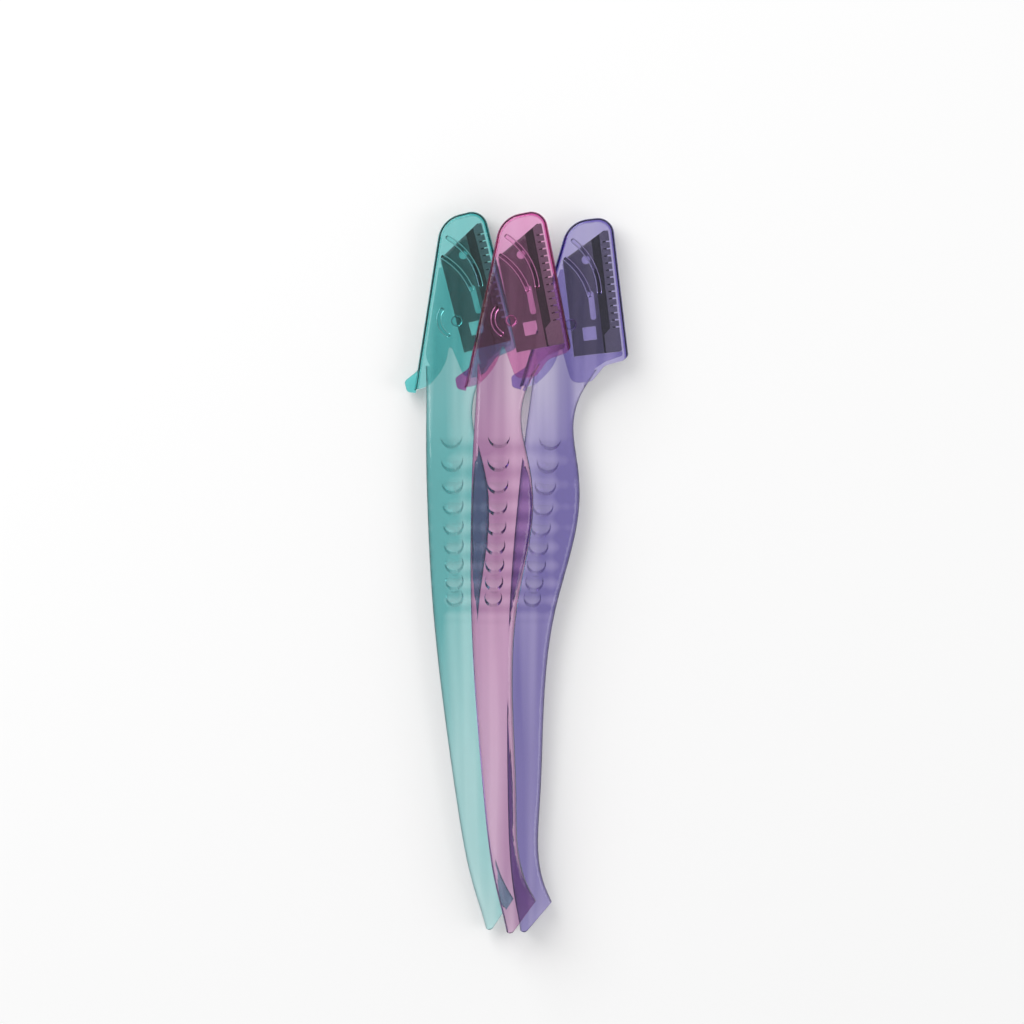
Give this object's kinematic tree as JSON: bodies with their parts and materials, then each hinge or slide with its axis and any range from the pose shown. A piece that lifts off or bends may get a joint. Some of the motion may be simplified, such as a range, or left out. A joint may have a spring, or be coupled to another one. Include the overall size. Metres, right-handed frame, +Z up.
{
  "type": "eyebrow razor set",
  "caption": "Slim eyebrow razors with scalloped clear tinted handles, guarded slanted blades and pull-off caps, lying fanned out one over the others.",
  "frame": {"origin": "on the surface that the set lies on, under the middle of its bounding box", "axes": "+Y along the handles from the tails to the caps, +X towards the cutting edges, +Z up"},
  "size_m": [0.0468, 0.1506, 0.0127],
  "materials": {
    "teal_plastic": "clear tinted injection moulding, glossy",
    "pink_plastic": "clear tinted injection moulding, glossy",
    "purple_plastic": "clear tinted injection moulding, glossy",
    "blade_steel": "ground strip",
    "guard_plastic": "dark moulding"
  },
  "bodies": {
    "teal_razor": {"teal_handle": "teal_plastic", "teal_blade": "blade_steel", "teal_guard": "guard_plastic", "teal_clamp": "teal_plastic"},
    "teal_cap": {"teal_cap": "teal_plastic"},
    "pink_razor": {"pink_handle": "pink_plastic", "pink_blade": "blade_steel", "pink_guard": "guard_plastic", "pink_clamp": "pink_plastic"},
    "pink_cap": {"pink_cap": "pink_plastic"},
    "purple_razor": {"purple_handle": "purple_plastic", "purple_blade": "blade_steel", "purple_guard": "guard_plastic", "purple_clamp": "purple_plastic"},
    "purple_cap": {"purple_cap": "purple_plastic"}
  },
  "joints": [
    {"name": "pink_lift", "type": "slide", "parent": "teal_razor", "child": "pink_razor", "axis": [0, 0, 1], "range_m": [0, 0.04]},
    {"name": "purple_shift", "type": "slide", "parent": "teal_razor", "child": "purple_razor", "axis": [1, 0, 0], "range_m": [0, 0.06]},
    {"name": "teal_cap_slide", "type": "slide", "parent": "teal_razor", "child": "teal_cap", "axis": [0.1361, 0.9907, 0], "range_m": [0, 0.04]},
    {"name": "pink_cap_slide", "type": "slide", "parent": "pink_razor", "child": "pink_cap", "axis": [0.1908, 0.9816, 0], "range_m": [0, 0.04]},
    {"name": "purple_cap_slide", "type": "slide", "parent": "purple_razor", "child": "purple_cap", "axis": [0.2647, 0.9643, 0], "range_m": [0, 0.04]}
  ]
}
